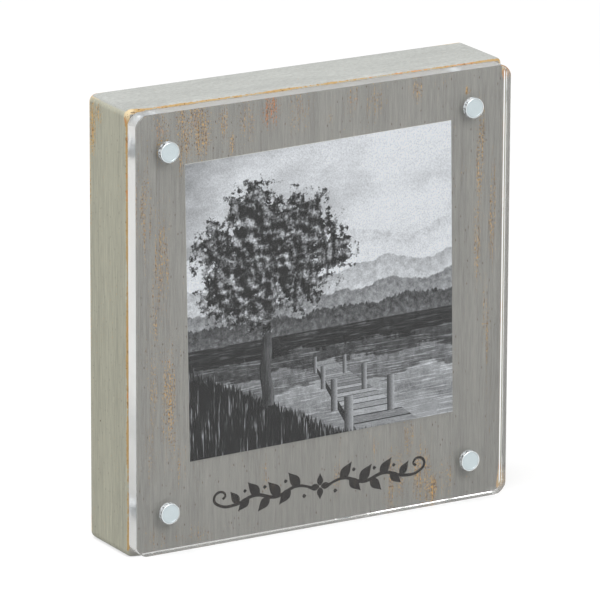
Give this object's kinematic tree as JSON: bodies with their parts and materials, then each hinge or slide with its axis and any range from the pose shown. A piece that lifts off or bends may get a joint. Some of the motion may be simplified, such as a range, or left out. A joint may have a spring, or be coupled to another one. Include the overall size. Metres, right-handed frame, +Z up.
{
  "type": "acrylic photo frame",
  "caption": "Free-standing wooden block photo frame: a clear cover plate held by corner magnets clamps a loose square print against the block.",
  "frame": {"origin": "on the surface that the frame stands on, below the middle of its box", "axes": "+Z up, +Y from the clear cover towards the back of the block, +X to the right as seen from in front"},
  "size_m": [0.1434, 0.032, 0.1524],
  "materials": {
    "painted_wood": "grey paint brushed on and rubbed through at the edges, satin",
    "photo_paper": "black-and-white photographic print, semi-gloss",
    "clear_acrylic": "clear cast acrylic with polished edges",
    "nickel_plate": "nickel-plated, satin"
  },
  "bodies": {
    "block": {"wood_block": "painted_wood", "block_magnet_top_left": "nickel_plate", "block_magnet_top_right": "nickel_plate", "block_magnet_bottom_left": "nickel_plate", "block_magnet_bottom_right": "nickel_plate"},
    "print": {"photo_print": "photo_paper"},
    "cover": {"acrylic_cover": "clear_acrylic", "cover_magnet_top_left": "nickel_plate", "cover_magnet_top_right": "nickel_plate", "cover_magnet_bottom_left": "nickel_plate", "cover_magnet_bottom_right": "nickel_plate"}
  },
  "joints": [
    {"name": "print_release", "type": "slide", "parent": "block", "child": "print", "axis": [0, -1, 0], "range_m": [0, 0.06]},
    {"name": "cover_pull", "type": "slide", "parent": "print", "child": "cover", "axis": [0, -1, 0], "range_m": [0, 0.06]}
  ]
}
